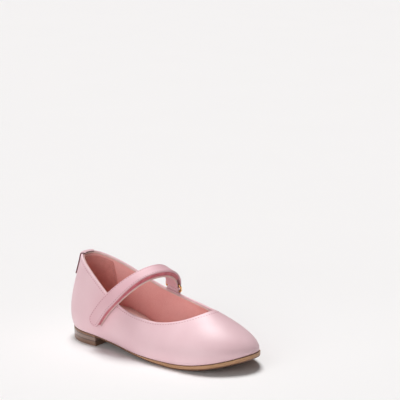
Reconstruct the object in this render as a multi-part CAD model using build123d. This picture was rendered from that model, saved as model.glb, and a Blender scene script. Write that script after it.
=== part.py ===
from build123d import *
import math
import os

import numpy as np

# Child's ballet slipper with an instep strap, right foot, drawn in millimetres.
# While it is drawn, X runs from heel to toe, Y to the inner side of the foot, Z up from the floor.

# Overall sizes
shoe_length = 190.0
ball_width = 68.0
quarter_height = 61.0
heel_height = 7.6
toe_lift = 12.4

# Sole sizes
outsole_heel = 1.8
outsole_ball = 3.9
outsole_toe = 4.2
outsole_edge = 0.15
outsole_edge_toe = 1.0
outsole_round = 1.5
heel_length = 38.5
heel_taper = 0.4
top_piece_height = 4.0
board_thickness = 1.8
insock_thickness = 1.6
pad_level = 40.0
pad_length = 84.0
pad_thickness = 7.8
pad_edge = 0.5
shank_length = 76.0
shank_width = 12.0
shank_thickness = 1.2
filler_thickness = 2.2
lasting_margin = 7.5

# Upper materials
patent = 1.1
stiffener = 0.7
lining = 0.8
grip = 0.6
glue_gap = 0.15
back_seam_gap = 0.3

# Strap and ring
strap_width = 11.5
strap_patent = 0.9
strap_backing = 0.5
tape = 1.25
tape_width = 10.8
strap_gap = 0.3
strap_standoff = 1.2
strap_arch = 29.5
ring_wire = 1.8
ring_window = 4.6
ring_play = 0.45
tab_thickness = 1.0
tab_length = 14.0
tab_return = 7.0
tab_play = 0.12

# Heel tab
heel_tab_height = 18.0
heel_tab_thickness = 1.0

# Last stations, going round from the back of the heel by the outer side and the toe. Each row is
# feather x, feather y, topline x, topline y, topline height over the seat line, then the wall:
# lean at the feather, its handle, rise at the topline, its handle. Lengths are for the last below.
LAST_LENGTH = 190.0
LAST_WIDTH = 68.0
LAST_QUARTER = 61.0
STATIONS = (
    (-0.6, 0.0, 8.0, 0.0, 61.2, 22, 19.0, 80, 17.0),
    (7.6, -14.8, 12.4, -10.6, 59.0, 21, 18.5, 80, 16.0),
    (27.0, -23.2, 32.0, -18.4, 47.4, 13, 14.5, 80, 13.0),
    (59.0, -25.6, 59.3, -24.6, 34.8, 22, 12.0, 74, 10.0),
    (92.0, -32.4, 89.0, -27.2, 29.0, 25, 11.0, 64, 9.0),
    (125.0, -34.6, 112.6, -23.4, 29.0, 24, 12.6, 44, 11.0),
    (161.0, -28.4, 131.6, -12.2, 34.0, 20, 16.0, 26, 17.0),
    (182.2, 1.0, 139.6, 1.8, 36.8, 12, 11.0, 22, 25.6),
    (165.0, 26.0, 134.6, 13.6, 34.8, 15, 11.5, 30, 16.5),
    (135.0, 33.0, 118.4, 22.4, 34.4, 22, 14.5, 43, 12.3),
    (97.6, 24.6, 94.0, 26.8, 36.8, 24, 11.7, 66, 9.9),
    (61.8, 20.2, 63.4, 24.4, 43.4, 24, 12.0, 76, 11.0),
    (27.8, 21.6, 32.6, 19.0, 53.4, 12, 15.0, 80, 14.0),
    (8.2, 14.5, 13.2, 10.8, 60.0, 18, 18.0, 80, 16.0),
)
TURN = len(STATIONS)

# Places round the last, in stations
COUNTER_END = 2.35
BACKER_START = 2.45
BACKER_END = 5.25
PUFF_START = 5.35
GRIP_END = 2.15
GRIP_SLANT = 0.21
HEEL_TAB_END = 0.66
STRAP_FOOT = 2.47
STRAP_FOOT_RISE = 0.30
STRAP_CROSSING = 2.98
RING_PLACE = 10.47


def unit(v):
    v = np.asarray(v, float)
    return v / np.linalg.norm(v, axis=-1, keepdims=True)


def through(xs, ys, x):
    """A smooth line through the points, with three-point slopes, straight past its ends."""
    xs = np.asarray(xs, float)
    ys = np.asarray(ys, float)
    x = np.asarray(x, float)
    step = np.diff(xs)
    rate = np.diff(ys) / step
    inner = (step[1:] * rate[:-1] + step[:-1] * rate[1:]) / (step[1:] + step[:-1])
    slope = np.concatenate([[rate[0]], inner, [rate[-1]]])
    k = np.clip(np.searchsorted(xs, x) - 1, 0, len(step) - 1)
    u = (x - xs[k]) / step[k]
    c = np.clip(u, 0.0, 1.0)
    h = (1 + 2 * c) * (1 - c) ** 2 * ys[k] + c * c * (3 - 2 * c) * ys[k + 1]
    h = h + step[k] * (c * (1 - c) ** 2 * slope[k] - c * c * (1 - c) * slope[k + 1])
    return h + (u - c) * step[k] * np.where(u > 1, slope[k + 1], slope[k])


def seat(x):
    """Height of the upper's underside over the floor along the shoe."""
    part = np.array([0.0, 0.10, 0.19, 0.30, 0.42, 0.55, 0.66, 0.76, 0.87, 1.0])
    top = heel_height + outsole_heel
    low = outsole_ball
    drop = top - low
    rise = toe_lift + outsole_toe - low
    z = [top + 0.7, top + 0.4, top - 0.05 * drop, low + 0.5 * drop, low + 0.12 * drop]
    z += [low, low, low + 0.14 * rise, low + 0.45 * rise, low + rise]
    return np.maximum(through(part * shoe_length, z, x), low)


def outsole_at(x):
    """Outsole thickness along the shoe."""
    part = np.array([0.0, 0.45, 0.66, 0.76, 1.0])
    t = [outsole_heel, outsole_heel + 0.1, outsole_ball, outsole_ball, outsole_toe]
    return np.minimum(through(part * shoe_length, t, x), seat(x))


def edge_at(x):
    """How far the outsole stands out past the upper along the shoe."""
    part = np.array([0.0, 0.55, 1.0])
    return through(part * shoe_length, [outsole_edge, outsole_edge, outsole_edge_toe], x)


def round_last(column, scale, t):
    """A station value at place t, as a closed smooth line round the last."""
    y = np.array([row[column] for row in STATIONS], float) * scale
    n = len(y)
    step = np.roll(np.eye(n), 1, 0) + np.roll(np.eye(n), -1, 0) + 4 * np.eye(n)
    slope = np.linalg.solve(step, 3 * (np.roll(y, -1) - np.roll(y, 1)))
    t = np.mod(np.asarray(t, float), n)
    k = np.floor(t).astype(int) % n
    u = t - np.floor(t)
    j = (k + 1) % n
    h = (1 + 2 * u) * (1 - u) ** 2 * y[k] + u * u * (3 - 2 * u) * y[j]
    return h + u * (1 - u) ** 2 * slope[k] - u * u * (1 - u) * slope[j]


SX = shoe_length / LAST_LENGTH
SY = ball_width / LAST_WIDTH
SZ = quarter_height / LAST_QUARTER


def feather(t):
    return round_last(0, SX, t), round_last(1, SY, t)


def outward(column, t):
    """Level direction out of the last, square to the feather line or the topline."""
    e = 1e-3
    dx = round_last(column, SX, t + e) - round_last(column, SX, t - e)
    dy = round_last(column + 1, SY, t + e) - round_last(column + 1, SY, t - e)
    return unit(np.stack([dy, -dx, 0 * dx], -1))


def wall(t, v):
    """Outer surface of the upper: t round the last, v from feather line to topline."""
    t, v = np.broadcast_arrays(np.asarray(t, float), np.asarray(v, float))
    fx, fy = feather(t)
    low = np.stack([fx, fy, seat(fx)], -1)
    tx = round_last(2, SX, t)
    top = np.stack([tx, round_last(3, SY, t), seat(tx) + round_last(4, SZ, t)], -1)
    up = np.array([0.0, 0.0, 1.0])
    lean = np.radians(round_last(5, 1, t))[..., None]
    rise = np.radians(round_last(7, 1, t))[..., None]
    first = low + round_last(6, SZ, t)[..., None] * (outward(0, t) * np.sin(lean) + up * np.cos(lean))
    last = top + round_last(8, SZ, t)[..., None] * (outward(2, t) * np.cos(rise) - up * np.sin(rise))
    v = v[..., None]
    w = 1 - v
    return w**3 * low + 3 * w * w * v * first + 3 * w * v * v * last + v**3 * top


def normal(t, v):
    """Unit direction out of the wall."""
    e = 1e-3
    along = wall(t + e, v) - wall(t - e, v)
    up = wall(t, np.minimum(v + e, 1.0)) - wall(t, np.maximum(v - e, 0.0))
    return unit(np.cross(along, up))


def wall_at(t, v, depth):
    """A point of the wall, moved in by depth."""
    return wall(t, v) - np.asarray(depth, float)[..., None] * normal(t, v)


def between(outer, inner):
    """A closed solid between two grids of points with the same rows."""
    faces = [
        Face.make_surface_from_array_of_points([[Vector(*p) for p in row] for row in grid], tol=0.02)
        for grid in (outer, inner)
    ]
    left = list(faces[1].edges())
    for edge in faces[0].edges():
        twin = min(left, key=lambda other: (other @ 0.5 - edge @ 0.5).length)
        left.remove(twin)
        faces.append(Face.make_surface_from_curves(edge, twin))
    solid = Solid(Shell(faces))
    return solid if solid.volume > 0 else Solid(solid.wrapped.Reversed())


def wall_layer(ts, vs, near, far, slant=0.0):
    """A piece that lies in the wall, between two depths; slant draws its ends back at the top."""
    grids = []
    for depth in (near, far):
        deep = np.full(len(vs), depth)
        grids.append([[tuple(p) for p in wall_at(t * (1 - slant * vs), vs, deep)] for t in ts])
    return between(*grids)


def round_layer(near, far, low, high):
    """A piece that goes all round the last, from low to high on the wall, open at its back seam."""
    gap = back_seam_gap / 30.0
    return wall_layer(np.linspace(gap, TURN - gap, 57), np.linspace(low, high, 8), near, far)


def outline(inset, z=0.0):
    """The feather line moved in, as a closed level wire; inset may change along the shoe."""
    ts = np.linspace(0, TURN, 84, endpoint=False)
    fx, fy = feather(ts)
    out = outward(0, ts)
    deep = inset(fx) if callable(inset) else inset
    x = fx - deep * out[:, 0]
    y = fy - deep * out[:, 1]
    return Wire([Edge.make_spline([Vector(a, b, z) for a, b in zip(x, y)], periodic=True)])


def sheet_along(low, high):
    """Everything between two heights that follow the shoe's length."""
    xs = np.linspace(-12, shoe_length + 12, 45)
    bottom = Edge.make_spline([Vector(x, 0, low(x)) for x in xs])
    top = Edge.make_spline([Vector(x, 0, high(x)) for x in xs])
    ends = [Edge.make_line(bottom @ 0, top @ 0), Edge.make_line(bottom @ 1, top @ 1)]
    face = Face(Wire([bottom, ends[1], top, ends[0]]))
    body = extrude(face, amount=ball_width, both=True)
    return body.solid()


def sole_sheet(inset, low, high):
    """A sheet of the sole: the moved-in outline between two heights over the seat line."""
    block = extrude(Face(outline(inset, -20)), amount=80, dir=(0, 0, 1))
    return (block & sheet_along(low, high)).solid()


def box_between(x0, x1, y0, y1, z0=-30.0, z1=120.0):
    return Pos((x0 + x1) / 2, (y0 + y1) / 2, (z0 + z1) / 2) * Box(x1 - x0, y1 - y0, z1 - z0)


# Depths of the layers inside the outer surface
inner_of_patent = patent
mid_near = patent + glue_gap
mid_far = mid_near + stiffener
lining_near = mid_far + glue_gap
lining_far = lining_near + lining
grip_near = lining_far + glue_gap
grip_far = grip_near + grip
board_low = lining_far + glue_gap
board_high = board_low + board_thickness
insock_low = board_high + glue_gap
insock_high = insock_low + insock_thickness
board_inset = lining_far + 0.8


def make_outsole():
    """Outsole, square-edged over the heel and rounded underneath in front of it."""
    sole = sole_sheet(
        lambda x: -edge_at(x), lambda x: seat(x) - outsole_at(x), lambda x: seat(x) - glue_gap
    )
    bottom = sole.faces().sort_by(Axis.Z)[0]
    rounded = fillet(bottom.edges(), min(outsole_round, 0.8 * outsole_heel))
    back = sole & box_between(-20, heel_length, -ball_width, ball_width)
    front = rounded & box_between(heel_length, shoe_length + 20, -ball_width, ball_width)
    return (back + front).solid()


def make_heel(low, high):
    """One layer of the heel, between two heights over the floor, cut square at the breast."""
    top = heel_height
    sides = []
    for z in (low, high):
        inset = heel_taper * max(0.0, 1 - z / top) - outsole_edge
        sides.append(outline(inset, z))
    block = Solid.make_loft(sides, ruled=True)
    return (block & box_between(-20, heel_length, -ball_width, ball_width)).solid()


def make_heel_block():
    layer = make_heel(top_piece_height + 0.05, heel_height + 1.2)
    room = sheet_along(lambda x: -5.0 + 0 * x, lambda x: seat(x) - outsole_at(x) - glue_gap)
    return (layer & room).solid()


def make_shank():
    start = heel_length - 18.0
    end = start + shank_length
    low = lasting_floor()
    sheet = sheet_along(lambda x: seat(x) + low, lambda x: seat(x) + low + shank_thickness)
    plan = Pos((start + end) / 2, -0.5, -20) * SlotOverall(shank_length, shank_width)
    return (extrude(plan, amount=80) & sheet).solid()


def lasting_floor():
    return 0.3


def make_filler():
    """Felt that fills the hollow inside the lasting margin, in front of the shank."""
    start = heel_length - 18.0 + shank_length + 0.6
    low = lasting_floor()
    felt = sole_sheet(
        board_inset + lasting_margin + 1.0, lambda x: seat(x) + low, lambda x: seat(x) + low + filler_thickness
    )
    return (felt & box_between(start, shoe_length, -ball_width, ball_width)).solid()


def make_lasting_margin():
    """The edges of upper and lining turned under the board, as one flat ring."""
    low = lasting_floor()
    high = board_low - glue_gap
    ring = sole_sheet(board_inset + 0.3, lambda x: seat(x) + low, lambda x: seat(x) + high)
    hollow = extrude(Face(outline(board_inset + 0.3 + lasting_margin, -20)), amount=80, dir=(0, 0, 1))
    return (ring - hollow).solid()


def make_board():
    return sole_sheet(board_inset, lambda x: seat(x) + board_low, lambda x: seat(x) + board_high)


def ease(x, start, end):
    """From 1 before start to 0 after end, smoothly."""
    u = np.clip((x - start) / (end - start), 0.0, 1.0)
    return 1 - u * u * (3 - 2 * u)


def cushion(x):
    """Thickness of the heel cushion along the shoe."""
    return pad_edge + (pad_thickness - pad_edge) * ease(x, pad_level, pad_length)


def make_pad():
    """Wedge of foam for heel and arch, under the insock."""
    pad = sole_sheet(
        board_inset + 3.0, lambda x: seat(x) + insock_low, lambda x: seat(x) + insock_low + cushion(x)
    )
    return (pad & box_between(-10, pad_length, -ball_width, ball_width)).solid()


def insock_base(x):
    """Height of the insock's underside, which lies over the cushion and then on the board."""
    lift = (cushion(x) + glue_gap) * ease(x, pad_length + 0.5, pad_length + 7.0)
    return seat(x) + insock_low + lift


def make_insock():
    return sole_sheet(board_inset + 0.8, insock_base, lambda x: insock_base(x) + insock_thickness)


# The strap's middle line is the foot side of its under layer.
def strap_run():
    """Points, widthways directions and outward directions along the strap, outer side to ring."""
    k = np.linspace(0, 1, 15)
    t = STRAP_FOOT + (STRAP_CROSSING - STRAP_FOOT) * k
    v = STRAP_FOOT_RISE + (1 - STRAP_FOOT_RISE) * k
    off = strap_gap + strap_standoff * k * k
    low = wall_at(t, v, -off)
    out_low = normal(t, v)
    bar, along, up, out = ring_frame()
    under = under_thickness() + strap_clear() + ring_wire / 2
    end = bar - out * under
    heading = unit(low[-1] - low[-2])
    first = low[-1] + heading * strap_arch
    last = end + up * strap_arch * 0.93 + out * 0.5
    m = np.linspace(0, 1, 34)[1:, None]
    w = 1 - m
    high = w**3 * low[-1] + 3 * w * w * m * first + 3 * w * m * m * last + m**3 * end
    points = np.concatenate([low, high])
    heading = unit(np.gradient(points, axis=0))
    side_low = np.cross(heading[:15], out_low)
    keys = [0.0, 0.35, 0.7, 1.0]
    middle = unit([0.90, -0.36, -0.24])
    late = unit([0.93, -0.12, -0.30])
    guide = [unit(side_low[-1]), middle, late, along]
    side_high = np.stack([through(keys, [g[i] for g in guide], m[:, 0]) for i in range(3)], -1)
    side = np.concatenate([side_low, side_high])
    side = unit(side - heading * (side * heading).sum(-1, keepdims=True))
    return points, side, unit(np.cross(side, heading))


def under_thickness():
    return strap_patent + glue_gap + strap_backing


def strap_clear():
    """Room between the ring's bar and the strap on each side."""
    return tape + glue_gap + strap_gap / 2 - ring_wire / 2


def ring_frame():
    """Middle of the ring's upper bar, with its directions along, up and out."""
    base = wall_at(RING_PLACE, 1.0, 0.0)
    along = unit(wall_at(RING_PLACE - 0.1, 1.0, 0.0) - wall_at(RING_PLACE + 0.1, 1.0, 0.0))
    out = normal(RING_PLACE, 1.0)
    out = unit(out - along * (out @ along))
    up = unit(np.cross(along, out))
    up = unit(up * (1 if up[2] > 0 else -1) - 0.10 * out)
    out = unit(out - up * (out @ up))
    lower = base + out * lower_bar_depth() + up * 0.4
    return lower + up * (ring_window + ring_wire), along, up, out


def lower_bar_depth():
    return glue_gap + tab_thickness + tab_play + ring_wire / 2


def strap_layer(near, far, width, first, last, rounded):
    """One layer of the strap between two distances over the middle line."""
    points, side, out = strap_run()
    n = len(points)
    span = np.concatenate([[0], np.cumsum(np.linalg.norm(np.diff(points, axis=0), axis=1))])
    ws = np.linspace(-width / 2, width / 2, 9)
    grids = []
    for depth in (near, far):
        grid = []
        for w in ws:
            r = width / 2 + 0.01
            cut = r - math.sqrt(r * r - w * w) if rounded else 0.0
            start = first + 0.72 * cut
            grid.append([])
            for s in np.linspace(start, span[-1] - last, 40):
                row = [np.interp(s, span, a) for a in (points.T[0], points.T[1], points.T[2])]
                sd = unit([np.interp(s, span, side[:, i]) for i in range(3)])
                od = unit([np.interp(s, span, out[:, i]) for i in range(3)])
                grid[-1].append(tuple(np.array(row) + sd * w + od * depth))
        grids.append(grid)
    return between(*grids)


def make_ring():
    bar, along, up, out = ring_frame()
    centre = bar - up * (ring_window + ring_wire) / 2
    height = ring_window + ring_wire
    length = strap_width + 2 * ring_play + height
    plane = Plane(origin=tuple(centre), x_dir=tuple(along), z_dir=tuple(np.cross(along, up)))
    loop = plane * RectangleRounded(length - height + ring_wire + 0.4, height, height / 2 - 1.3)
    path = loop.face().outer_wire()
    start = Plane(origin=path @ 0, z_dir=path % 0)
    return sweep(start * Circle(ring_wire / 2), path=path).solid()


def make_tab():
    """Tab on the inner quarter: up from the quarter, round the ring's lower bar and back behind."""
    bar, along, up, out = ring_frame()
    lower = bar - up * (ring_window + ring_wire)
    r = ring_wire / 2 + tab_play
    grids = [[], []]
    tall = 42.0 * SZ
    for w in np.linspace(-strap_width / 2, strap_width / 2, 7):
        t = RING_PLACE - w / 32.0
        for grid, extra in zip(grids, (0.0, tab_thickness)):
            line = []
            for s in np.linspace(tab_return, 2.6, 5):
                p = wall_at(t, 1 - s / tall, 0.0)
                line.append(p + normal(t, 1 - s / tall) * (glue_gap + tab_thickness - extra))
            for a in np.linspace(0, math.pi, 9):
                arm = -out * math.cos(a) + up * math.sin(a)
                line.append(lower + along * w + arm * (r + extra))
            for s in np.linspace(3.4, tab_length, 8):
                near = glue_gap * 2 + tab_thickness
                near += 1.7 * max(0.0, 1 - (s - 2.0) / 4.2)
                p = wall_at(t, 1 - s / tall, 0.0)
                line.append(p + normal(t, 1 - s / tall) * (near + extra))
            grid.append([tuple(p) for p in line])
    return between(*grids)


def make_heel_tab():
    ts = np.linspace(-HEEL_TAB_END, HEEL_TAB_END, 15)
    vs = np.linspace(1 - heel_tab_height / quarter_height, 0.995, 9)
    return wall_layer(ts, vs, -glue_gap - heel_tab_thickness, -glue_gap)


def make_parts():
    even = lambda a, b, n: np.linspace(a, b, n)
    up = under_thickness()
    loop_low = up + glue_gap
    hook_low = loop_low + tape + strap_gap
    flap_low = hook_low + tape + glue_gap
    flap_patent_low = flap_low + strap_backing + glue_gap
    full = strap_width
    back = strap_width - 0.6
    return {
        "outsole": make_outsole(),
        "heel_block": make_heel_block(),
        "heel_top_piece": make_heel(0.0, top_piece_height),
        "shank": make_shank(),
        "bottom_filler": make_filler(),
        "insole_board": make_board(),
        "heel_cushion": make_pad(),
        "insock": make_insock(),
        "upper": round_layer(0.0, inner_of_patent, 0.0, 1.0),
        "lining": round_layer(lining_near, lining_far, 0.01, 0.99),
        "lasting_margin": make_lasting_margin(),
        "heel_counter": wall_layer(
            even(-COUNTER_END, COUNTER_END, 33), even(0.10, 0.84, 9), mid_near, mid_far
        ),
        "toe_puff": wall_layer(
            even(PUFF_START, TURN - PUFF_START, 27), even(0.10, 0.60, 9), mid_near, mid_far
        ),
        "backer_outer": wall_layer(
            even(BACKER_START, BACKER_END, 21), even(0.12, 0.88, 9), mid_near, mid_far
        ),
        "backer_inner": wall_layer(
            even(TURN - BACKER_END, TURN - BACKER_START, 21), even(0.12, 0.88, 9), mid_near, mid_far
        ),
        "topline_tape": wall_layer(
            even(0.05, TURN - 0.05, 57), even(0.91, 0.985, 4), mid_near, mid_far
        ),
        "heel_grip": wall_layer(
            even(-GRIP_END, GRIP_END, 33), even(0.26, 0.965, 9), grip_near, grip_far, GRIP_SLANT
        ),
        "heel_tab": make_heel_tab(),
        "strap_under": strap_layer(0.0, strap_patent, full, 4.0, 0.0, False),
        "strap_under_backing": strap_layer(strap_patent + glue_gap, up, back, 4.4, 0.0, False),
        "strap_loop_tape": strap_layer(loop_low, loop_low + tape, tape_width, 6.0, 7.0, False),
        "strap_hook_tape": strap_layer(hook_low, hook_low + tape, tape_width, 3.0, 7.0, True),
        "strap_flap_backing": strap_layer(flap_low, flap_low + strap_backing, back, 0.4, 1.0, True),
        "strap_flap": strap_layer(
            flap_patent_low, flap_patent_low + strap_patent, full, 0.0, 1.0, True
        ),
        "ring": make_ring(),
        "ring_tab": make_tab(),
    }


def main():
    os.makedirs("parts", exist_ok=True)
    parts = make_parts()
    boxes = [piece.bounding_box() for piece in parts.values()]
    low = Vector(min(b.min.X for b in boxes), min(b.min.Y for b in boxes), min(b.min.Z for b in boxes))
    high = Vector(max(b.max.X for b in boxes), max(b.max.Y for b in boxes), max(b.max.Z for b in boxes))
    shift = Vector(-(low.X + high.X) / 2, -(low.Y + high.Y) / 2, -low.Z)
    for name, piece in parts.items():
        export_step(piece.moved(Location(shift)), "parts/" + name + ".step")
    bar, along, up, out = ring_frame()
    lower = bar - up * (ring_window + ring_wire)
    print("shift", shift)
    print("size", high - low)
    print("upper bar", Vector(*bar) + shift, "along", along, "up", up, "out", out)
    print("lower bar", Vector(*lower) + shift)


main()
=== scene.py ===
import math

import bpy
import numpy as np
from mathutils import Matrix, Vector


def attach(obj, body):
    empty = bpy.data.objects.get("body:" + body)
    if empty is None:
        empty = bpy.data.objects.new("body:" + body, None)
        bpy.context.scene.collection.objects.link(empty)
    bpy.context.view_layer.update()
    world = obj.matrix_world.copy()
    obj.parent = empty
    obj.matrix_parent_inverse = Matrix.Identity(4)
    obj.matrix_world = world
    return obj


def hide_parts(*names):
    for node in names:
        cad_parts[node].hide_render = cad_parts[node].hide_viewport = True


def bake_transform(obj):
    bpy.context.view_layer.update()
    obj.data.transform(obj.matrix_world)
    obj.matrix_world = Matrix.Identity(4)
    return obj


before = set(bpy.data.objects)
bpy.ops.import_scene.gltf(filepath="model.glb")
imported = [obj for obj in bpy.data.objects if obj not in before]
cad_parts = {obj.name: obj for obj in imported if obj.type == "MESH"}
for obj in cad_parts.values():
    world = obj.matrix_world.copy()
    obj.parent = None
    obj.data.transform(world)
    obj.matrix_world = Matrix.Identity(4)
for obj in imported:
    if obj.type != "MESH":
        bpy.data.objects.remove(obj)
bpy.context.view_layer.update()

# The shoe is drawn in millimetres with X from heel to toe, and set in the frame by this move.
SET_DOWN = np.array([-90.1993, 0.5426, 0.0])

# Sole
HEEL_HEIGHT = 7.6
HEEL_LENGTH = 38.5
OUTSOLE_HEEL = 1.8
OUTSOLE_BALL = 3.9
OUTSOLE_TOE = 4.2
TOE_LIFT = 12.4
LENGTH = 190.0
INSOCK_LOW = 5.0
INSOCK_THICK = 1.6
PAD_LEVEL = 40.0
PAD_LENGTH = 84.0
PAD_THICK = 7.8

# Upper and strap
FOLD = 1.1
STRAP_WIDTH = 11.5
RING_WIRE = 1.8
RING_WINDOW = 4.6
BAR_ROOM = 3.1
STRAP_FOOT = 2.47
STRAP_FOOT_RISE = 0.30
STRAP_CROSSING = 2.98
STRAP_ARCH = 29.5
RING_PLACE = 10.47
TAB_END = 0.66
TAB_FOOT = 1 - 18.0 / 61.0
WALL_SPAN = 42.0
TAB_SPAN = 32.0

# Middle of each strap layer over the foot side, and of the fold round the ring's bar
UNDER_DEPTH = 0.78
LOOP_DEPTH = 2.325
HOOK_DEPTH = 3.875
FLAP_DEPTH = 5.425
FOLD_RADIUS = 2.32
STITCH_DEPTH = 6.19

LAST = np.array(
    [
        (-0.6, 0.0, 8.0, 0.0, 61.2, 22, 19.0, 80, 17.0),
        (7.6, -14.8, 12.4, -10.6, 59.0, 21, 18.5, 80, 16.0),
        (27.0, -23.2, 32.0, -18.4, 47.4, 13, 14.5, 80, 13.0),
        (59.0, -25.6, 59.3, -24.6, 34.8, 22, 12.0, 74, 10.0),
        (92.0, -32.4, 89.0, -27.2, 29.0, 25, 11.0, 64, 9.0),
        (125.0, -34.6, 112.6, -23.4, 29.0, 24, 12.6, 44, 11.0),
        (161.0, -28.4, 131.6, -12.2, 34.0, 20, 16.0, 26, 17.0),
        (182.2, 1.0, 139.6, 1.8, 36.8, 12, 11.0, 22, 25.6),
        (165.0, 26.0, 134.6, 13.6, 34.8, 15, 11.5, 30, 16.5),
        (135.0, 33.0, 118.4, 22.4, 34.4, 22, 14.5, 43, 12.3),
        (97.6, 24.6, 94.0, 26.8, 36.8, 24, 11.7, 66, 9.9),
        (61.8, 20.2, 63.4, 24.4, 43.4, 24, 12.0, 76, 11.0),
        (27.8, 21.6, 32.6, 19.0, 53.4, 12, 15.0, 80, 14.0),
        (8.2, 14.5, 13.2, 10.8, 60.0, 18, 18.0, 80, 16.0),
    ]
)
TURN = len(LAST)


# ---------------------------------------------------------------- shape of the last


def unit(v):
    v = np.asarray(v, float)
    return v / np.linalg.norm(v, axis=-1, keepdims=True)


def through(xs, ys, x):
    xs = np.asarray(xs, float)
    ys = np.asarray(ys, float)
    x = np.asarray(x, float)
    step = np.diff(xs)
    rate = np.diff(ys) / step
    inner = (step[1:] * rate[:-1] + step[:-1] * rate[1:]) / (step[1:] + step[:-1])
    slope = np.concatenate([[rate[0]], inner, [rate[-1]]])
    k = np.clip(np.searchsorted(xs, x) - 1, 0, len(step) - 1)
    u = (x - xs[k]) / step[k]
    c = np.clip(u, 0.0, 1.0)
    h = (1 + 2 * c) * (1 - c) ** 2 * ys[k] + c * c * (3 - 2 * c) * ys[k + 1]
    h = h + step[k] * (c * (1 - c) ** 2 * slope[k] - c * c * (1 - c) * slope[k + 1])
    return h + (u - c) * step[k] * np.where(u > 1, slope[k + 1], slope[k])


def seat(x):
    """Height of the upper's underside over the floor."""
    part = np.array([0.0, 0.10, 0.19, 0.30, 0.42, 0.55, 0.66, 0.76, 0.87, 1.0])
    top = HEEL_HEIGHT + OUTSOLE_HEEL
    low = OUTSOLE_BALL
    drop = top - low
    rise = TOE_LIFT + OUTSOLE_TOE - low
    z = [top + 0.7, top + 0.4, top - 0.05 * drop, low + 0.5 * drop, low + 0.12 * drop]
    z += [low, low, low + 0.14 * rise, low + 0.45 * rise, low + rise]
    return np.maximum(through(part * LENGTH, z, x), low)


def station(column, t):
    """A value of the last at place t, as a closed smooth line round it."""
    y = LAST[:, column]
    n = len(y)
    step = np.roll(np.eye(n), 1, 0) + np.roll(np.eye(n), -1, 0) + 4 * np.eye(n)
    slope = np.linalg.solve(step, 3 * (np.roll(y, -1) - np.roll(y, 1)))
    t = np.mod(np.asarray(t, float), n)
    k = np.floor(t).astype(int) % n
    u = t - np.floor(t)
    j = (k + 1) % n
    h = (1 + 2 * u) * (1 - u) ** 2 * y[k] + u * u * (3 - 2 * u) * y[j]
    return h + u * (1 - u) ** 2 * slope[k] - u * u * (1 - u) * slope[j]


def level_out(column, t):
    e = 1e-3
    dx = station(column, t + e) - station(column, t - e)
    dy = station(column + 1, t + e) - station(column + 1, t - e)
    return unit(np.stack([dy, -dx, 0 * dx], -1))


def wall(t, v):
    """The upper's outer face: t goes round the last, v from the sole to the topline."""
    t, v = np.broadcast_arrays(np.asarray(t, float), np.asarray(v, float))
    fx = station(0, t)
    low = np.stack([fx, station(1, t), seat(fx)], -1)
    tx = station(2, t)
    top = np.stack([tx, station(3, t), seat(tx) + station(4, t)], -1)
    up = np.array([0.0, 0.0, 1.0])
    lean = np.radians(station(5, t))[..., None]
    rise = np.radians(station(7, t))[..., None]
    first = low + station(6, t)[..., None] * (level_out(0, t) * np.sin(lean) + up * np.cos(lean))
    last = top + station(8, t)[..., None] * (level_out(2, t) * np.cos(rise) - up * np.sin(rise))
    v = v[..., None]
    w = 1 - v
    return w**3 * low + 3 * w * w * v * first + 3 * w * v * v * last + v**3 * top


def wall_out(t, v):
    e = 1e-3
    along = wall(t + e, v) - wall(t - e, v)
    up = wall(t, np.minimum(np.asarray(v) + e, 1.0)) - wall(t, np.maximum(np.asarray(v) - e, 0.0))
    return unit(np.cross(along, up))


def layer(t, v, depth):
    t, v, depth = np.broadcast_arrays(t, v, depth)
    return wall(t, v) - depth[..., None] * wall_out(t, v)


def rim(t):
    """At the topline: the wall's top, its outward direction and its upward direction."""
    top = wall(t, 1.0)
    out = wall_out(t, 1.0)
    up = unit(top - wall(t, 0.985))
    return top, out, up


# ---------------------------------------------------------------- making meshes


def tool_off():
    if bpy.context.mode != "OBJECT":
        bpy.ops.object.mode_set(mode="OBJECT")
    bpy.ops.object.select_all(action="DESELECT")


def place_points(piece, points):
    piece.data.vertices.foreach_set("co", ((points + SET_DOWN) / 1000.0).ravel())
    piece.data.update()


def run_length(points):
    """Distance along a line of points, from its first."""
    return np.concatenate([[0], np.cumsum(np.linalg.norm(np.diff(points, axis=0), axis=1))])


def finish_mesh(piece, merge=0.0):
    tool_off()
    piece.select_set(True)
    bpy.context.view_layer.objects.active = piece
    bpy.ops.object.mode_set(mode="EDIT")
    bpy.ops.mesh.select_all(action="SELECT")
    if merge:
        bpy.ops.mesh.remove_doubles(threshold=merge)
    bpy.ops.mesh.normals_make_consistent(inside=False)
    bpy.ops.object.mode_set(mode="OBJECT")
    bpy.ops.object.shade_smooth()
    tool_off()
    return piece


def sheet_of(name, rows):
    """An open sheet from rows of points, started from a plane grid."""
    rows = np.asarray(rows)
    a, b = rows.shape[:2]
    tool_off()
    bpy.ops.mesh.primitive_grid_add(x_subdivisions=b - 1, y_subdivisions=a - 1, size=1)
    piece = bpy.context.object
    piece.name = name
    piece.data.name = name
    co = np.empty(a * b * 3)
    piece.data.vertices.foreach_get("co", co)
    co = co.reshape(-1, 3)
    j = np.rint((co[:, 0] + 0.5) * (b - 1)).astype(int)
    i = np.rint((co[:, 1] + 0.5) * (a - 1)).astype(int)
    place_points(piece, rows[i, j])
    return piece


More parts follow.
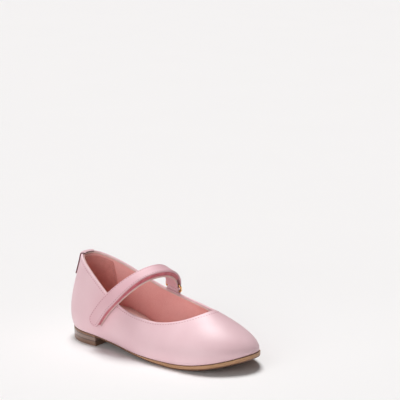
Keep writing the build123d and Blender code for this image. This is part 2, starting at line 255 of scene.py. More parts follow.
def loop_of(name, rows):
    """A closed tube, round both ways, started from a torus."""
    rows = np.asarray(rows)
    a, b = rows.shape[:2]
    tool_off()
    bpy.ops.mesh.primitive_torus_add(
        major_segments=a, minor_segments=b, major_radius=1.0, minor_radius=0.25
    )
    piece = bpy.context.object
    piece.name = name
    piece.data.name = name
    co = np.empty(a * b * 3)
    piece.data.vertices.foreach_get("co", co)
    co = co.reshape(-1, 3)
    i = np.rint(np.arctan2(co[:, 1], co[:, 0]) / (2 * np.pi) * a).astype(int) % a
    r = np.hypot(co[:, 0], co[:, 1]) - 1.0
    j = np.rint(np.arctan2(co[:, 2], r) / (2 * np.pi) * b).astype(int) % b
    place_points(piece, rows[i, j])
    return finish_mesh(piece)


def thicken(piece, thickness, bevel, rim=0):
    """Give a sheet its thickness; with rim 1 its cut edges take the second material slot."""
    for _ in range(2 * rim):
        piece.data.materials.append(None)
    tool_off()
    piece.select_set(True)
    bpy.context.view_layer.objects.active = piece
    solid = piece.modifiers.new("thickness", "SOLIDIFY")
    solid.thickness = thickness / 1000.0
    solid.offset = 0.0
    solid.material_offset_rim = rim
    bpy.ops.object.modifier_apply(modifier="thickness")
    edge = piece.modifiers.new("edge", "BEVEL")
    edge.width = bevel / 1000.0
    edge.segments = 3
    edge.limit_method = "ANGLE"
    edge.angle_limit = math.radians(50)
    bpy.ops.object.modifier_apply(modifier="edge")
    return finish_mesh(piece)


def ring_rows(t, v_low, v_high, near, far, top_round=6):
    """Closed cross-sections of a layer that goes all round, rounded at its top."""
    v = v_low + (v_high - v_low) * (0.5 - 0.5 * np.cos(np.linspace(0, np.pi, 16)))
    outer = layer(t[:, None], v[None], near)
    inner = layer(t[:, None], v[::-1][None], far)
    top = wall(t, v_high)
    out = wall_out(t, v_high)
    up = unit(wall(t, v_high) - wall(t, v_high - 0.02))
    middle = top - out * (near + far) / 2
    r = (far - near) / 2
    a = np.linspace(0, np.pi, top_round + 2)[1:-1]
    cap = middle[:, None] + r * (
        np.cos(a)[None, :, None] * out[:, None] + np.sin(a)[None, :, None] * up[:, None]
    )
    return np.concatenate([outer, cap, inner], 1)


# ---------------------------------------------------------------- finishes


def colour(r, g, b):
    return (r, g, b, 1.0)


def new_group(name, inputs, outputs):
    group = bpy.data.node_groups.new(name, "ShaderNodeTree")
    for label, kind, value in inputs:
        socket = group.interface.new_socket(label, in_out="INPUT", socket_type=kind)
        socket.default_value = value
    for label, kind in outputs:
        group.interface.new_socket(label, in_out="OUTPUT", socket_type=kind)
    start = group.nodes.new("NodeGroupInput")
    end = group.nodes.new("NodeGroupOutput")
    return group, start, end


def math_node(tree, kind, a, b=None):
    node = tree.nodes.new("ShaderNodeMath")
    node.operation = kind
    for socket, value in zip(node.inputs, (a, b)):
        if value is None:
            continue
        if isinstance(value, (int, float)):
            socket.default_value = value
        else:
            tree.links.new(value, socket)
    return node.outputs[0]


def noise(tree, where, scale, detail=3.0, rough=0.5):
    node = tree.nodes.new("ShaderNodeTexNoise")
    node.inputs["Scale"].default_value = scale
    node.inputs["Detail"].default_value = detail
    node.inputs["Roughness"].default_value = rough
    tree.links.new(where, node.inputs["Vector"])
    return node


def spread(tree, value, low, high, to_low, to_high):
    node = tree.nodes.new("ShaderNodeMapRange")
    node.inputs["From Min"].default_value = low
    node.inputs["From Max"].default_value = high
    node.inputs["To Min"].default_value = to_low
    node.inputs["To Max"].default_value = to_high
    tree.links.new(value, node.inputs["Value"])
    return node.outputs["Result"]


def mix_colours(tree, factor, first, second):
    node = tree.nodes.new("ShaderNodeMix")
    node.data_type = "RGBA"
    if isinstance(factor, (int, float)):
        node.inputs["Factor"].default_value = factor
    else:
        tree.links.new(factor, node.inputs["Factor"])
    for socket, value in zip((node.inputs[6], node.inputs[7]), (first, second)):
        if isinstance(value, tuple):
            socket.default_value = value
        else:
            tree.links.new(value, socket)
    return node.outputs[2]


def hide_grain_group():
    """Pebbled hide: cells broken up by noise, with pores."""
    group, start, end = new_group(
        "hide_grain",
        [("Where", "NodeSocketVector", (0, 0, 0)), ("Cells", "NodeSocketFloat", 900.0)],
        [("Height", "NodeSocketFloat"), ("Shade", "NodeSocketFloat")],
    )
    where = start.outputs["Where"]
    cells = group.nodes.new("ShaderNodeTexVoronoi")
    cells.feature = "DISTANCE_TO_EDGE"
    group.links.new(where, cells.inputs["Vector"])
    group.links.new(start.outputs["Cells"], cells.inputs["Scale"])
    crease = spread(group, cells.outputs["Distance"], 0.0, 0.22, 0.0, 1.0)
    broad = noise(group, where, 90.0, 4.0)
    fine = noise(group, where, 2600.0, 2.0)
    height = math_node(group, "ADD", crease, math_node(group, "MULTIPLY", fine.outputs["Fac"], 0.5))
    group.links.new(height, end.inputs["Height"])
    shade = math_node(
        group, "ADD", math_node(group, "MULTIPLY", crease, 0.35),
        math_node(group, "MULTIPLY", broad.outputs["Fac"], 0.65),
    )
    group.links.new(shade, end.inputs["Shade"])
    return group


def nap_group():
    """Short fuzzy pile: fine tufts over soft patches."""
    group, start, end = new_group(
        "nap",
        [("Where", "NodeSocketVector", (0, 0, 0)), ("Tufts", "NodeSocketFloat", 2200.0)],
        [("Height", "NodeSocketFloat"), ("Shade", "NodeSocketFloat")],
    )
    where = start.outputs["Where"]
    tufts = group.nodes.new("ShaderNodeTexNoise")
    tufts.inputs["Detail"].default_value = 5.0
    tufts.inputs["Roughness"].default_value = 0.75
    group.links.new(where, tufts.inputs["Vector"])
    group.links.new(start.outputs["Tufts"], tufts.inputs["Scale"])
    patches = noise(group, where, 260.0, 3.0)
    group.links.new(tufts.outputs["Fac"], end.inputs["Height"])
    shade = math_node(
        group, "ADD", math_node(group, "MULTIPLY", tufts.outputs["Fac"], 0.55),
        math_node(group, "MULTIPLY", patches.outputs["Fac"], 0.45),
    )
    group.links.new(shade, end.inputs["Shade"])
    return group


HIDE = hide_grain_group()
NAP = nap_group()


def blank(name):
    material = bpy.data.materials.new(name)
    material.use_nodes = True
    tree = material.node_tree
    shader = tree.nodes["Principled BSDF"]
    place = tree.nodes.new("ShaderNodeTexCoord").outputs["Object"]
    return material, tree, shader, place


def bump(tree, shader, height, distance, strength=1.0, under=None):
    node = tree.nodes.new("ShaderNodeBump")
    node.inputs["Distance"].default_value = distance
    node.inputs["Strength"].default_value = strength
    tree.links.new(height, node.inputs["Height"])
    if under is not None:
        tree.links.new(under, node.inputs["Normal"])
    tree.links.new(node.outputs["Normal"], shader.inputs["Normal"])
    return node.outputs["Normal"]


def patent_finish(name, light, deep, sheen=0.42):
    """Coated hide: clear gloss over soft pink, with slow ripples and a faint orange peel."""
    material, tree, shader, place = blank(name)
    broad = noise(tree, place, 26.0, 3.0)
    tone = mix_colours(tree, spread(tree, broad.outputs["Fac"], 0.3, 0.7, 0.0, 1.0), deep, light)
    peel = noise(tree, place, 1500.0, 2.0)
    speck = mix_colours(tree, spread(tree, peel.outputs["Fac"], 0.35, 0.65, 0.0, 0.12), tone, deep)
    tree.links.new(speck, shader.inputs["Base Color"])
    smear = noise(tree, place, 70.0, 4.0)
    rough = spread(tree, smear.outputs["Fac"], 0.3, 0.7, sheen, sheen + 0.12)
    tree.links.new(rough, shader.inputs["Roughness"])
    shader.inputs["Coat Weight"].default_value = 0.3
    shader.inputs["Coat Roughness"].default_value = 0.38
    shader.inputs["Specular IOR Level"].default_value = 0.4
    ripple = noise(tree, place, 75.0, 2.0)
    first = bump(tree, shader, ripple.outputs["Fac"], 0.0005, 0.5)
    bump(tree, shader, peel.outputs["Fac"], 0.00003, 0.5, first)
    return material


def hide_finish(name, light, deep, cells, rough, depth=0.00009):
    material, tree, shader, place = blank(name)
    grain = tree.nodes.new("ShaderNodeGroup")
    grain.node_tree = HIDE
    grain.inputs["Cells"].default_value = cells
    tree.links.new(place, grain.inputs["Where"])
    shade = spread(tree, grain.outputs["Shade"], 0.25, 0.75, 0.0, 1.0)
    tree.links.new(mix_colours(tree, shade, deep, light), shader.inputs["Base Color"])
    smear = noise(tree, place, 110.0, 3.0)
    tree.links.new(
        spread(tree, smear.outputs["Fac"], 0.3, 0.7, rough - 0.07, rough + 0.07),
        shader.inputs["Roughness"],
    )
    bump(tree, shader, grain.outputs["Height"], depth, 0.6)
    return material


def nap_finish(name, light, deep, tufts, depth, sheen=0.5):
    material, tree, shader, place = blank(name)
    pile = tree.nodes.new("ShaderNodeGroup")
    pile.node_tree = NAP
    pile.inputs["Tufts"].default_value = tufts
    tree.links.new(place, pile.inputs["Where"])
    shade = spread(tree, pile.outputs["Shade"], 0.35, 0.65, 0.0, 1.0)
    tree.links.new(mix_colours(tree, shade, deep, light), shader.inputs["Base Color"])
    tree.links.new(
        spread(tree, pile.outputs["Shade"], 0.3, 0.7, 0.85, 1.0), shader.inputs["Roughness"]
    )
    shader.inputs["Sheen Weight"].default_value = sheen
    shader.inputs["Sheen Roughness"].default_value = 0.5
    bump(tree, shader, pile.outputs["Height"], depth, 0.9)
    return material


def layered_finish(name, light, deep, pitch, rough, grain=1.0, coat=0.0, seams=()):
    """Stacked or moulded sole stuff: thin level layers, streaks, scuffs, and dark lines of painted
    shade where the layers meet.
    """
    material, tree, shader, place = blank(name)
    stretch = tree.nodes.new("ShaderNodeMapping")
    stretch.inputs["Scale"].default_value = (0.12, 0.12, 1.0)
    tree.links.new(place, stretch.inputs["Vector"])
    layers = noise(tree, stretch.outputs["Vector"], pitch, 4.0, 0.6)
    streak = spread(tree, layers.outputs["Fac"], 0.35, 0.65, 0.0, 1.0)
    fleck = noise(tree, place, 1400.0, 3.0)
    both = math_node(
        tree, "ADD", math_node(tree, "MULTIPLY", streak, 0.7),
        math_node(tree, "MULTIPLY", fleck.outputs["Fac"], 0.3),
    )
    tone = mix_colours(tree, both, deep, light)
    height = tree.nodes.new("ShaderNodeSeparateXYZ")
    tree.links.new(place, height.inputs[0])
    # painted shade: a dark line at each given height, standing in for the shade of the small step
    # between two layers
    for seam in seams:
        off = math_node(tree, "SUBTRACT", height.outputs["Z"], seam / 1000.0)
        away = math_node(tree, "ABSOLUTE", off)
        dark = spread(tree, away, 0.0002, 0.0006, 0.75, 0.0)
        tone = mix_colours(tree, dark, tone, colour(0.07, 0.04, 0.03))
    tree.links.new(tone, shader.inputs["Base Color"])
    tree.links.new(
        spread(tree, fleck.outputs["Fac"], 0.3, 0.7, rough - 0.06, rough + 0.08),
        shader.inputs["Roughness"],
    )
    shader.inputs["Coat Weight"].default_value = coat
    shader.inputs["Coat Roughness"].default_value = 0.25
    bump(tree, shader, both, 0.00008 * grain, 0.5)
    return material


def outsole_finish():
    """Leather-board sole: pale tan along its top edge; round the underside and back from the heel
    breast, painted shade in flecked dark brown.
    """
    material, tree, shader, place = blank("outsole_tan")
    normal = tree.nodes.new("ShaderNodeNewGeometry").outputs["Normal"]
    split = tree.nodes.new("ShaderNodeSeparateXYZ")
    tree.links.new(normal, split.inputs[0])
    # painted shade: faces that turn downwards, and most of the side back from the heel breast, take
    # the dark brown
    side = spread(tree, split.outputs["Z"], -0.22, -0.02, 0.0, 1.0)
    along = tree.nodes.new("ShaderNodeSeparateXYZ")
    tree.links.new(place, along.inputs[0])
    breast = (HEEL_LENGTH + SET_DOWN[0]) / 1000.0
    ahead = spread(tree, along.outputs["X"], breast - 0.004, breast + 0.03, 0.15, 1.0)
    side = math_node(tree, "MULTIPLY", side, ahead)
    stretch = tree.nodes.new("ShaderNodeMapping")
    stretch.inputs["Scale"].default_value = (0.15, 0.15, 1.0)
    tree.links.new(place, stretch.inputs["Vector"])
    streak = noise(tree, stretch.outputs["Vector"], 1800.0, 3.0)
    fleck = noise(tree, place, 900.0, 4.0)
    tan = mix_colours(
        tree, spread(tree, streak.outputs["Fac"], 0.3, 0.7, 0.0, 1.0),
        colour(0.42, 0.22, 0.105), colour(0.54, 0.31, 0.165),
    )
    # the flecked dark brown of the painted shade
    brown = mix_colours(
        tree, spread(tree, fleck.outputs["Fac"], 0.3, 0.7, 0.0, 1.0),
        colour(0.15, 0.065, 0.035), colour(0.235, 0.115, 0.065),
    )
    tree.links.new(mix_colours(tree, side, brown, tan), shader.inputs["Base Color"])
    tree.links.new(
        spread(tree, fleck.outputs["Fac"], 0.3, 0.7, 0.32, 0.5), shader.inputs["Roughness"]
    )
    bump(tree, shader, fleck.outputs["Fac"], 0.00008, 0.5)
    return material


def gold_finish():
    material, tree, shader, place = blank("ring_gold")
    smear = noise(tree, place, 420.0, 4.0)
    tone = mix_colours(
        tree, spread(tree, smear.outputs["Fac"], 0.3, 0.7, 0.0, 1.0),
        colour(0.83, 0.52, 0.20), colour(0.95, 0.68, 0.33),
    )
    tree.links.new(tone, shader.inputs["Base Color"])
    shader.inputs["Metallic"].default_value = 1.0
    tree.links.new(
        spread(tree, smear.outputs["Fac"], 0.3, 0.7, 0.10, 0.24), shader.inputs["Roughness"]
    )
    bump(tree, shader, smear.outputs["Fac"], 0.00003, 0.4)
    return material


def thread_finish(name, light, deep):
    material, tree, shader, place = blank(name)
    twist = noise(tree, place, 3800.0, 3.0)
    shade = spread(tree, twist.outputs["Fac"], 0.35, 0.65, 0.0, 1.0)
    tree.links.new(mix_colours(tree, shade, deep, light), shader.inputs["Base Color"])
    rough = spread(tree, twist.outputs["Fac"], 0.3, 0.7, 0.45, 0.65)
    tree.links.new(rough, shader.inputs["Roughness"])
    bump(tree, shader, twist.outputs["Fac"], 0.00006, 0.7)
    return material


PINK = patent_finish("patent_pink", colour(0.85, 0.605, 0.645), colour(0.79, 0.525, 0.57))
STRAP_PINK = patent_finish("patent_strap", colour(0.81, 0.53, 0.575), colour(0.74, 0.445, 0.495))
CORAL = hide_finish(
    "lining_coral", colour(0.97, 0.54, 0.51), colour(0.89, 0.43, 0.41), 1100.0, 0.42
)
ROSE_SUEDE = nap_finish(
    "grip_suede", colour(0.80, 0.36, 0.325), colour(0.66, 0.27, 0.24), 1700.0, 0.00016
)
SOCK = hide_finish("insock_pale", colour(0.95, 0.74, 0.69), colour(0.89, 0.64, 0.59), 800.0, 0.5)
CREAM = nap_finish(
    "raw_edge", colour(0.86, 0.66, 0.60), colour(0.72, 0.50, 0.46), 2600.0, 0.00012, 0.2
)
# the heel tab's cut edges are drawn near-black
DARK_EDGE = nap_finish(
    "dark_cut_edge", colour(0.22, 0.085, 0.11), colour(0.13, 0.045, 0.06), 2000.0, 0.0001, 0.1
)
FUZZ = nap_finish(
    "tape_coral", colour(0.82, 0.23, 0.27), colour(0.55, 0.09, 0.13), 1100.0, 0.0006, 0.6
)
TAN_SOLE = outsole_finish()
# the heights 4.0 and 7.4 (and 4.0 on the top piece) get lines of painted shade at the layer joints
STACK = layered_finish(
    "heel_stack_brown", colour(0.28, 0.18, 0.14), colour(0.23, 0.145, 0.11),
    1300.0, 0.3, 0.5, 0.5, (4.0, 7.4),
)
TOP_PIECE = layered_finish(
    "top_piece_brown", colour(0.25, 0.14, 0.09), colour(0.205, 0.11, 0.07),
    900.0, 0.38, 0.5, 0.2, (4.0,),
)
GOLD = gold_finish()
THREAD = thread_finish("thread_rose", colour(0.62, 0.28, 0.33), colour(0.44, 0.16, 0.21))
BOARD = hide_finish("board_tan", colour(0.45, 0.33, 0.22), colour(0.34, 0.24, 0.15), 600.0, 0.8)
FELT = nap_finish(
    "stiffener_felt", colour(0.60, 0.54, 0.46), colour(0.46, 0.40, 0.33), 1500.0, 0.0002, 0.2
)
STEEL = layered_finish(
    "shank_steel", colour(0.55, 0.55, 0.57), colour(0.40, 0.40, 0.42), 2400.0, 0.35
)


def paint(piece, material, edge=None):
    if edge:
        piece.data.materials[0] = material
        piece.data.materials[1] = edge
        return
    piece.data.materials.clear()
    piece.data.materials.append(material)


def dress(piece, material, body, slot, *nodes, edge=None):
    paint(piece, material, edge)
    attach(piece, body)
    if nodes:
        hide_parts(*nodes)
    return piece


# ---------------------------------------------------------------- upper and lining


def make_upper():
    """Patent upper with its topline edge folded over to the inside."""
    t = np.linspace(0, TURN, 224, endpoint=False)
    v = np.concatenate([[0.0, 0.012], np.linspace(0.035, 0.965, 24), [0.988, 1.0]])
    depth = np.zeros((len(t), len(v)))
    depth[:, 0] = 0.45
    depth[:, 1] = 0.08
    back = np.minimum(t, TURN - t)
    depth += 0.32 * np.exp(-((back / 0.022) ** 2))[:, None]
    outer = layer(t[:, None], v[None], depth)
    top, out, up = rim(t)
    middle = top - out * FOLD
    a = np.linspace(0, np.pi, 9)[1:-1]
    fold = middle[:, None] + FOLD * (
        np.cos(a)[None, :, None] * out[:, None] + np.sin(a)[None, :, None] * up[:, None]
    )
    inside_v = np.array([1.0, 0.97, 0.93, 0.90])
    inside = layer(t[:, None], inside_v[None], np.array([2 * FOLD, 2.15, 1.7, 1.15])[None])
    lower = layer(t[:, None], np.array([0.7, 0.4, 0.1, 0.0])[None], 1.1)
    return loop_of("upper_patent", np.concatenate([outer, fold, inside, lower], 1))


def make_lining():
    t = np.linspace(0, TURN, 196, endpoint=False)
    return loop_of("lining_hide", ring_rows(t, 0.015, 0.975, 2.3, 3.1))


def make_raw_edge():
    """Cut edge of the lining, just inside the folded topline."""
    t = np.linspace(0, TURN, 196, endpoint=False)
    top, out, up = rim(t)
    a = np.linspace(0, 2 * np.pi, 8, endpoint=False)
    middle = top - out * 2.62 - up * 0.1
    rows = middle[:, None] + (
        0.42 * np.cos(a)[None, :, None] * out[:, None]
        + 0.75 * np.sin(a)[None, :, None] * up[:, None]
    )
    return loop_of("lining_raw_edge", rows)


def grip_end(v):
    """Where the heel grip ends round the last: its seam leans back towards the topline."""
    return 2.15 * (1 - 0.21 * v)


def make_grip():
    k = np.linspace(-1, 1, 61)
    v = np.linspace(0.16, 0.955, 25)
    piece = sheet_of("heel_grip_suede", layer(k[:, None] * grip_end(v)[None], v[None], 3.4))
    return thicken(piece, 0.6, 0.25)


def heel_tab_path(t, depth_out):
    """Up the outside and over the topline, at the back of the heel."""
    top, out, up = rim(t)
    v = np.linspace(TAB_FOOT, 0.985, 14)
    outside = layer(t[:, None], v[None], -depth_out)
    middle = top - out * 1.75
    a = np.linspace(0.12, 2.3, 11)
    over = middle[:, None] + (1.75 + depth_out) * (
        np.cos(a)[None, :, None] * out[:, None] + 0.7 * np.sin(a)[None, :, None] * up[:, None]
    )
    return np.concatenate([outside, over], 1)


def make_heel_tab():
    t = np.linspace(-TAB_END, TAB_END, 41)
    piece = sheet_of("heel_tab_patent", heel_tab_path(t, 0.65))
    return thicken(piece, 1.0, 0.2, rim=1)


def ease(x, start, end):
    u = np.clip((x - start) / (end - start), 0.0, 1.0)
    return 1 - u * u * (3 - 2 * u)


def insock_low(x):
    """Height of the insock's underside, over the heel and arch cushion and then the board."""
    pad = 0.5 + (PAD_THICK - 0.5) * ease(x, PAD_LEVEL, PAD_LENGTH)
    return seat(x) + INSOCK_LOW + (pad + 0.15) * ease(x, PAD_LENGTH + 0.5, PAD_LENGTH + 7.0)


def lining_reach(t):
    """Where the lining's inner face meets the insock's top, seen from above."""
    v = np.linspace(0.03, 0.75, 60)
    face = layer(t[:, None], v[None], 3.2)
    over = face[..., 2] - insock_low(face[..., 0]) - INSOCK_THICK
    pick = np.argmin(np.abs(over), axis=1)
    return face[np.arange(len(t)), pick]


def insock_point(t, r, z_off):
    edge = lining_reach(t)
    spine_x = np.clip(edge[:, 0], 22.0, 158.0)
    spine_y = through([20, 60, 100, 140, 165], [0.0, -2.0, -2.2, -0.6, 0.5], spine_x)
    x = spine_x + (edge[:, 0] - spine_x) * r
    y = spine_y + (edge[:, 1] - spine_y) * r
    dish = -0.7 * (1 - r * r) + 0.25
    return np.stack([x, y, insock_low(x) + z_off + dish], -1)


def make_insock():
    t = np.linspace(0, TURN, 168, endpoint=False)
    top = [insock_point(t, r, INSOCK_THICK) for r in np.linspace(0.0, 0.96, 12)]
    side = [insock_point(t, 0.99, INSOCK_THICK - 0.25), insock_point(t, 0.995, INSOCK_THICK / 2)]
    side.append(insock_point(t, 0.98, 0.1))
    under = [insock_point(t, r, 0.0) for r in np.linspace(0.9, 0.0, 6)]
    piece = loop_of("insock_cover", np.stack(top + side + under, 1))
    return finish_mesh(piece, merge=0.00002)


# ---------------------------------------------------------------- strap


def ring_frame():
    base = layer(RING_PLACE, 1.0, 0.0)
    along = unit(layer(RING_PLACE - 0.1, 1.0, 0.0) - layer(RING_PLACE + 0.1, 1.0, 0.0))
    out = wall_out(RING_PLACE, 1.0)
    out = unit(out - along * (out @ along))
    up = unit(np.cross(along, out))
    up = unit(up * (1 if up[2] > 0 else -1) - 0.10 * out)
    out = unit(out - up * (out @ up))
    lower = base + out * (0.15 + 1.0 + 0.12 + RING_WIRE / 2) + up * 0.4
    return lower + up * (RING_WINDOW + RING_WIRE), lower, along, up, out


BAR, LOWER_BAR, ALONG, RING_UP, RING_OUT = ring_frame()


def strap_run():
    k = np.linspace(0, 1, 15)
    t = STRAP_FOOT + (STRAP_CROSSING - STRAP_FOOT) * k
    v = STRAP_FOOT_RISE + (1 - STRAP_FOOT_RISE) * k
    off = 0.3 + 1.2 * k * k
    low = layer(t, v, -off)
    out_low = wall_out(t, v)
    end = BAR - RING_OUT * BAR_ROOM
    heading = unit(low[-1] - low[-2])
    first = low[-1] + heading * STRAP_ARCH
    last = end + RING_UP * STRAP_ARCH * 0.93 + RING_OUT * 0.5
    m = np.linspace(0, 1, 34)[1:, None]
    w = 1 - m
    high = w**3 * low[-1] + 3 * w * w * m * first + 3 * w * m * m * last + m**3 * end
    points = np.concatenate([low, high])
    heading = unit(np.gradient(points, axis=0))
    side_low = np.cross(heading[:15], out_low)
    keys = [0.0, 0.35, 0.7, 1.0]
    guide = [unit(side_low[-1]), unit([0.90, -0.36, -0.24]), unit([0.93, -0.12, -0.30]), ALONG]
    side_high = np.stack([through(keys, [g[i] for g in guide], m[:, 0]) for i in range(3)], -1)
    side = np.concatenate([side_low, side_high])
    side = unit(side - heading * (side * heading).sum(-1, keepdims=True))
    return points, side, unit(np.cross(side, heading))


RUN, RUN_SIDE, RUN_OUT = strap_run()
RUN_LENGTH = run_length(RUN)


def strap_at(s, w, depth):
    """A point of the strap: s along it, w across it, depth over its foot side."""
    s, w, depth = np.broadcast_arrays(np.asarray(s, float), w, depth)

    def pick(a):
        return np.stack([np.interp(s, RUN_LENGTH, a[:, i]) for i in range(3)], -1)

    return pick(RUN) + unit(pick(RUN_SIDE)) * w[..., None] + unit(pick(RUN_OUT)) * depth[..., None]


def strap_sheet(name, depth, thickness, width, first, last, rounded, bevel):
    w = np.linspace(-width / 2, width / 2, 17)
    r = width / 2 + 0.02
    cut = 0.8 * (r - np.sqrt(r * r - w * w)) if rounded else 0 * w
    k = np.linspace(0, 1, 96)
    s = (first + cut)[:, None] + (RUN_LENGTH[-1] - last - first - cut)[:, None] * k[None]
    piece = sheet_of(name, strap_at(s, w[:, None], depth))
    return thicken(piece, thickness, bevel, rim=1)


def make_fold():
    """The strap's bend round the ring's upper bar."""
    a = np.linspace(0, np.pi, 21)
    w = np.linspace(-STRAP_WIDTH / 2, STRAP_WIDTH / 2, 15)
    arm = -RING_OUT[None] * np.cos(a)[:, None] - RING_UP[None] * np.sin(a)[:, None]
    turn = BAR[None] + FOLD_RADIUS * arm
    before = strap_at(RUN_LENGTH[-1] - np.array([5.0, 3.4, 1.8, 0.6]), 0.0, UNDER_DEPTH)
    after = strap_at(RUN_LENGTH[-1] - np.array([0.6, 1.8, 3.4, 5.0]), 0.0, FLAP_DEPTH)
    path = np.concatenate([before, turn, after])
    piece = sheet_of("strap_fold", path[:, None] + ALONG[None, None] * w[None, :, None])
    return thicken(piece, 1.45, 0.3)


def tab_depth(s):
    """How deep the tab's inner leg lies under the wall's outer face, s down from the topline."""
    return 1.85 + 1.7 * max(0.0, 1 - (s - 2.0) / 4.2) - 0.75 * max(0.0, (s - 8.0) / 6.0)


def make_tab():
    """Tab on the inner quarter, looped round the ring's lower bar."""
    w = np.linspace(-STRAP_WIDTH / 2, STRAP_WIDTH / 2, 15)
    rows = []
    r = RING_WIRE / 2 + 0.12 + 0.5
    for off in w:
        t = RING_PLACE - off / TAB_SPAN
        line = []
        for s in np.linspace(6.0, 2.6, 5):
            v = 1 - s / WALL_SPAN
            line.append(layer(t, v, -0.65))
        for a in np.linspace(0, math.pi, 13):
            arm = -RING_OUT * math.cos(a) + RING_UP * math.sin(a)
            line.append(LOWER_BAR + ALONG * off + arm * r)
        for s in np.linspace(3.4, 14.0, 12):
            v = 1 - s / WALL_SPAN
            line.append(layer(t, v, -tab_depth(s)))
        rows.append(line)
    piece = sheet_of("ring_tab_patent", np.array(rows))
    return thicken(piece, 1.0, 0.3)


# ---------------------------------------------------------------- stitching


def stitch_row(name, centre, heading, out, length, width, rise):
    """Separate stitches, each a small thread pill, in one mesh."""
    tool_off()
    bpy.ops.mesh.primitive_uv_sphere_add(segments=8, ring_count=6, radius=0.5)
    pill = bpy.context.object
    shape = np.array([v.co[:] for v in pill.data.vertices])
    faces = [tuple(p.vertices) for p in pill.data.polygons]
    bpy.data.objects.remove(pill, do_unlink=True)
    heading = unit(heading)
    out = unit(out - heading * (out * heading).sum(-1, keepdims=True))
    across = np.cross(out, heading)
    stretch = np.sign(shape[:, 2]) * np.abs(2 * shape[:, 2]) ** 0.8 / 2
    points = (
        centre[:, None]
        + heading[:, None] * (stretch * length)[None, :, None]
        + across[:, None] * (shape[:, 0] * width)[None, :, None]
        + out[:, None] * (shape[:, 1] * rise)[None, :, None]
    )
    n = len(shape)
    every = [tuple(i + n * k for i in f) for k in range(len(centre)) for f in faces]
    mesh = bpy.data.meshes.new(name)
    mesh.from_pydata(((points.reshape(-1, 3) + SET_DOWN) / 1000.0).tolist(), [], every)
    piece = bpy.data.objects.new(name, mesh)
    bpy.context.scene.collection.objects.link(piece)
    return finish_mesh(piece)


def even_steps(points, pitch):
    """Evenly spaced points along a line of points, with their headings."""
    d = run_length(points)
    s = np.arange(pitch / 2, d[-1], pitch)
    at = np.stack([np.interp(s, d, points[:, i]) for i in range(3)], -1)
    ahead = np.stack([np.interp(s + 0.3, d, points[:, i]) for i in range(3)], -1)
    behind = np.stack([np.interp(s - 0.3, d, points[:, i]) for i in range(3)], -1)
    return at, unit(ahead - behind), s / d[-1]


def sew_topline():
    t = np.linspace(0.72, TURN - 0.72, 900)
    v = 1 - 1.7 / WALL_SPAN
    line = layer(t, v, 0.0)
    at, heading, part = even_steps(line, 2.3)
    where = np.interp(part, np.linspace(0, 1, 900), t)
    out = wall_out(where, v)
    return stitch_row("topline_stitches", at - out * 0.02, heading, out, 1.4, 0.55, 0.3)


def sew_strap():
    """Two rows along the flap and one round its end."""
    inset = STRAP_WIDTH / 2 - 1.15
    end = RUN_LENGTH[-1] - 4.0
    a = np.linspace(0, np.pi, 40)
    turn = 6.2
    s = np.concatenate(
        [np.linspace(end, turn, 400), turn - 4.9 * np.sin(a), np.linspace(turn, end, 400)]
    )
    w = np.concatenate([np.full(400, -inset), -inset * np.cos(a), np.full(400, inset)])
    line = strap_at(s, w, STITCH_DEPTH)
    at, heading, part = even_steps(line, 2.3)
    d = run_length(line)
    sm = np.interp(part * d[-1], d, s)
    out = strap_at(sm, 0.0, STITCH_DEPTH + 1.0) - strap_at(sm, 0.0, STITCH_DEPTH)
    return stitch_row("strap_stitches", at, heading, out, 1.4, 0.55, 0.3)


def sew_heel_tab():
    side = TAB_END - 0.08
    foot = TAB_FOOT + 0.03
    t = np.linspace(-side, side, 41)
    v = np.linspace(foot, 0.98, 30)
    left = layer(np.full(30, -side), v, -1.16)
    low = layer(t, foot, -1.16)
    right = layer(np.full(30, side), v, -1.16)
    line = np.concatenate([left[::-1], low[1:-1], right])
    ts = np.concatenate([np.full(30, -side), t[1:-1], np.full(30, side)])
    vs = np.concatenate([v[::-1], np.full(39, foot), v])
    at, heading, part = even_steps(line, 2.2)
    d = run_length(line)
    out = wall_out(np.interp(part * d[-1], d, ts), np.interp(part * d[-1], d, vs))
    return stitch_row("heel_tab_stitches", at, heading, out, 1.4, 0.36, 0.22)


def sew_grip():
    """A row down each end of the heel grip."""
    ats, heads, outs = [], [], []
    v = np.linspace(0.3, 0.94, 200)
    for side in (-1, 1):
        t = side * (grip_end(v) - 0.07)
        at, heading, part = even_steps(layer(t, v, 3.72), 2.2)
        ats.append(at)
        heads.append(heading)
        known = np.linspace(0, 1, 200)
        outs.append(-wall_out(np.interp(part, known, t), np.interp(part, known, v)))
    return stitch_row(
        "heel_grip_stitches", np.concatenate(ats), np.concatenate(heads), np.concatenate(outs),
        1.4, 0.38, 0.24,
    )


def sew_tab():
    """Two rows across the tab that hold it to the quarter."""
    ats, heads, outs = [], [], []
    for s in (6.2, 12.6):
        off = np.linspace(-4.6, 4.6, 60)
        t = RING_PLACE - off / TAB_SPAN
        v = 1 - s / WALL_SPAN
        line = layer(t, v, -tab_depth(s) - 0.52)
        at, heading, part = even_steps(line, 1.9)
        ats.append(at)
        heads.append(heading)
        outs.append(wall_out(np.interp(part, np.linspace(0, 1, 60), t), v))
    return stitch_row(
        "tab_stitches", np.concatenate(ats), np.concatenate(heads), np.concatenate(outs),
        1.3, 0.36, 0.22,
    )


# ---------------------------------------------------------------- assembly

dress(make_upper(), PINK, "shoe", "patent", "upper")
dress(make_lining(), CORAL, "shoe", "lining", "lining")
dress(make_raw_edge(), CREAM, "shoe", "lining")
dress(make_grip(), ROSE_SUEDE, "shoe", "heel_grip", "heel_grip")
dress(make_heel_tab(), PINK, "shoe", "patent", "heel_tab", edge=DARK_EDGE)
dress(make_insock(), SOCK, "shoe", "insock", "insock")

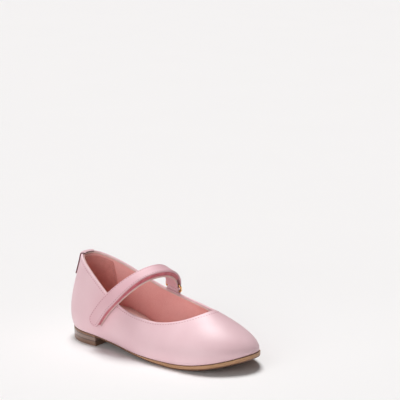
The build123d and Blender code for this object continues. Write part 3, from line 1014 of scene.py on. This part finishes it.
under = strap_sheet("strap_under_patent", UNDER_DEPTH, 1.5, 11.5, 3.0, 4.6, False, 0.2)
dress(under, STRAP_PINK, "shoe", "patent", "strap_under", "strap_under_backing", edge=CREAM)
loop = strap_sheet("loop_tape_pile", LOOP_DEPTH, 1.4, 11.3, 4.6, 7.0, False, 0.4)
dress(loop, FUZZ, "shoe", "tape", "strap_loop_tape", edge=FUZZ)
hook = strap_sheet("hook_tape_pile", HOOK_DEPTH, 1.5, 11.4, 0.9, 7.0, True, 0.4)
dress(hook, FUZZ, "flap", "tape", "strap_hook_tape", edge=FUZZ)
flap = strap_sheet("strap_flap_patent", FLAP_DEPTH, 1.5, 11.5, 0.0, 4.6, True, 0.4)
dress(flap, STRAP_PINK, "flap", "patent", "strap_flap", "strap_flap_backing", edge=STRAP_PINK)

fold = make_fold()
paint(fold, STRAP_PINK)
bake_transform(fold)

dress(make_tab(), PINK, "shoe", "patent", "ring_tab")
dress(sew_topline(), THREAD, "shoe", "patent")
dress(sew_strap(), THREAD, "flap", "patent")
dress(sew_heel_tab(), THREAD, "shoe", "patent")
dress(sew_grip(), THREAD, "shoe", "heel_grip")
dress(sew_tab(), THREAD, "shoe", "patent")

CARRIED = {
    "outsole": TAN_SOLE,
    "heel_block": STACK,
    "heel_top_piece": TOP_PIECE,
    "ring": GOLD,
    "shank": STEEL,
    "bottom_filler": FELT,
    "insole_board": BOARD,
    "heel_cushion": FELT,
    "lasting_margin": BOARD,
    "heel_counter": FELT,
    "toe_puff": FELT,
    "backer_outer": FELT,
    "backer_inner": FELT,
    "topline_tape": FELT,
}
for node, material in CARRIED.items():
    paint(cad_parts[node], material)


# ---------------------------------------------------------------- floor, light and camera


def make_floor():
    tool_off()
    bpy.ops.mesh.primitive_grid_add(x_subdivisions=12, y_subdivisions=12, size=9.0)
    floor = bpy.context.object
    floor.name = "studio_floor"
    material, tree, shader, place = blank("floor_white")
    faint = noise(tree, place, 8.0, 2.0)
    low, high = colour(0.875, 0.873, 0.873), colour(0.885, 0.883, 0.883)
    tone = mix_colours(tree, faint.outputs["Fac"], low, high)
    tree.links.new(tone, shader.inputs["Base Color"])
    shader.inputs["Roughness"].default_value = 0.9
    shader.inputs["Specular IOR Level"].default_value = 0.1
    paint(floor, material)


def sky_lamp(name, toward, angle, power):
    """An even, far light that comes from the given direction."""
    data = bpy.data.lights.new(name, "SUN")
    data.angle = math.radians(angle)
    data.energy = power
    lamp = bpy.data.objects.new(name, data)
    bpy.context.scene.collection.objects.link(lamp)
    lamp.location = toward
    lamp.rotation_euler = (-Vector(toward)).to_track_quat("-Z", "Y").to_euler()


def throat_lamp(where, target, cone, power):
    """A narrow soft lamp aimed into the foot opening."""
    data = bpy.data.lights.new("throat_light", "SPOT")
    data.spot_size = math.radians(cone)
    data.spot_blend = 1.0
    data.shadow_soft_size = 0.15
    data.energy = power
    lamp = bpy.data.objects.new("throat_light", data)
    bpy.context.scene.collection.objects.link(lamp)
    lamp.location = where
    lamp.rotation_euler = (Vector(target) - Vector(where)).to_track_quat("-Z", "Y").to_euler()


def view_axes():
    azimuth = math.radians(38.5)
    elevation = math.radians(16.5)
    level = math.cos(elevation)
    back = Vector((math.sin(azimuth) * level, -math.cos(azimuth) * level, math.sin(elevation)))
    right = Vector((math.cos(azimuth), math.sin(azimuth), 0.0))
    return back, right, back.cross(right)


def set_camera():
    back, right, upward = view_axes()
    distance = 1.45
    breadth = 0.3284
    target = Vector(((np.array([95.0, 0.0, 20.0]) + SET_DOWN) / 1000.0).tolist())
    aim = target + right * 0.0278 + upward * 0.1051
    data = bpy.data.cameras.new("camera")
    data.sensor_width = 36.0
    data.lens = 36.0 * distance / breadth
    data.clip_start = 0.01
    camera = bpy.data.objects.new("camera", data)
    bpy.context.scene.collection.objects.link(camera)
    camera.location = target + back * distance
    camera.rotation_euler = (aim - camera.location).to_track_quat("-Z", "Y").to_euler()
    bpy.context.scene.camera = camera


make_floor()
world = bpy.data.worlds.new("studio")
world.use_nodes = True
world.node_tree.nodes["Background"].inputs["Color"].default_value = (1.0, 0.86, 0.83, 1.0)
world.node_tree.nodes["Background"].inputs["Strength"].default_value = 0.13
bpy.context.scene.world = world
sky_lamp("key_light", (-0.26, 0.22, 1.0), 26.0, 2.72)
sky_lamp("front_fill", (0.05, -1.0, 0.13), 60.0, 1.75)
throat_lamp((-0.42, -0.78, 0.92), (-0.012, 0.004, 0.03), 7.0, 14.0)
bpy.context.scene.view_settings.view_transform = "Standard"
set_camera()
